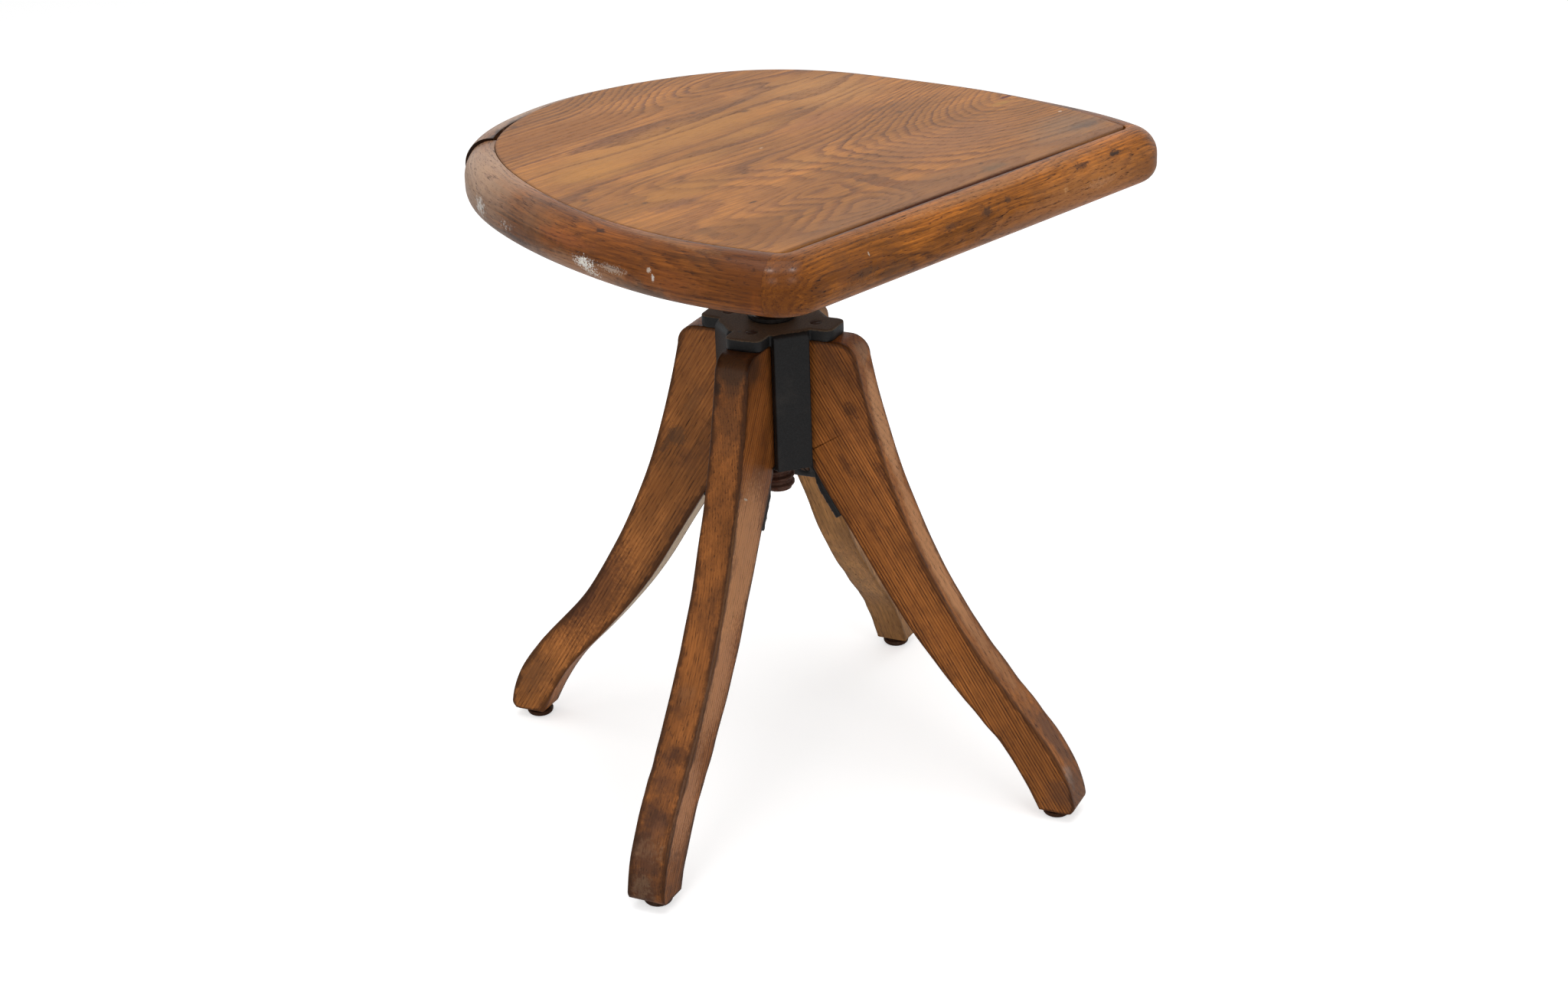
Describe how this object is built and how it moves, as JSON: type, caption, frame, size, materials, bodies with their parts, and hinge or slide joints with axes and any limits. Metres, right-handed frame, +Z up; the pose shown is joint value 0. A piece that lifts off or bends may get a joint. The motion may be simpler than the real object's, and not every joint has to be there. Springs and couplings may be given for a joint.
{
  "type": "swivel stool",
  "caption": "Screw-adjustable swivel stool: a D-shaped oak seat with a rounded rim on a threaded iron spindle, in a cast-iron hub with curved oak legs.",
  "frame": {"origin": "on the floor, on the spindle's axis, under the middle of the glides", "axes": "+Z up; the straight edge of the seat faces -Y at rest; the legs point 18, 108, 198 and 288 degrees round from +X"},
  "size_m": [0.4396, 0.4396, 0.472],
  "materials": {
    "panel_oak": "old shellac, worn satin",
    "rim_oak": "dark stain, worn satin",
    "leg_oak": "dark stain, worn",
    "dowel_wood": "bare",
    "hub_iron": "blackened, slightly glossy",
    "plate_iron": "blackened",
    "spindle_steel": "brown rust and old grease",
    "ring_steel": "blackened",
    "screw_steel": "brown rust",
    "glide_steel": "worn, rusty"
  },
  "bodies": {
    "base": {"hub": "hub_iron", "leg_left": "leg_oak", "leg_front": "leg_oak", "leg_right": "leg_oak", "leg_back": "leg_oak", "lobe_screws": "screw_steel", "tongue_screws": "screw_steel", "glide_left": "glide_steel", "glide_front": "glide_steel", "glide_right": "glide_steel", "glide_back": "glide_steel"},
    "ring": {"wear_ring": "ring_steel"},
    "seat": {"spindle": "spindle_steel", "spindle_pin": "spindle_steel", "seat_plate": "plate_iron", "plate_screws": "screw_steel", "seat_panel": "panel_oak", "rim_front": "rim_oak", "rim_left": "rim_oak", "rim_back": "rim_oak", "rim_right": "rim_oak", "rim_dowels": "dowel_wood", "panel_screws": "screw_steel"}
  },
  "joints": [
    {"name": "seat_turn", "type": "hinge", "parent": "base", "child": "ring", "pos_m": [0, 0, 0.35], "axis": [0, 0, 1], "range_deg": [-4320, 4320]},
    {"name": "seat_rise", "type": "slide", "parent": "ring", "child": "seat", "axis": [0, 0, 1], "range_m": [-0.0725, 0.0725]}
  ],
  "couplings": [
    {"joint": "seat_rise", "follows": "seat_turn", "m_per_rad": 0.00095493}
  ]
}
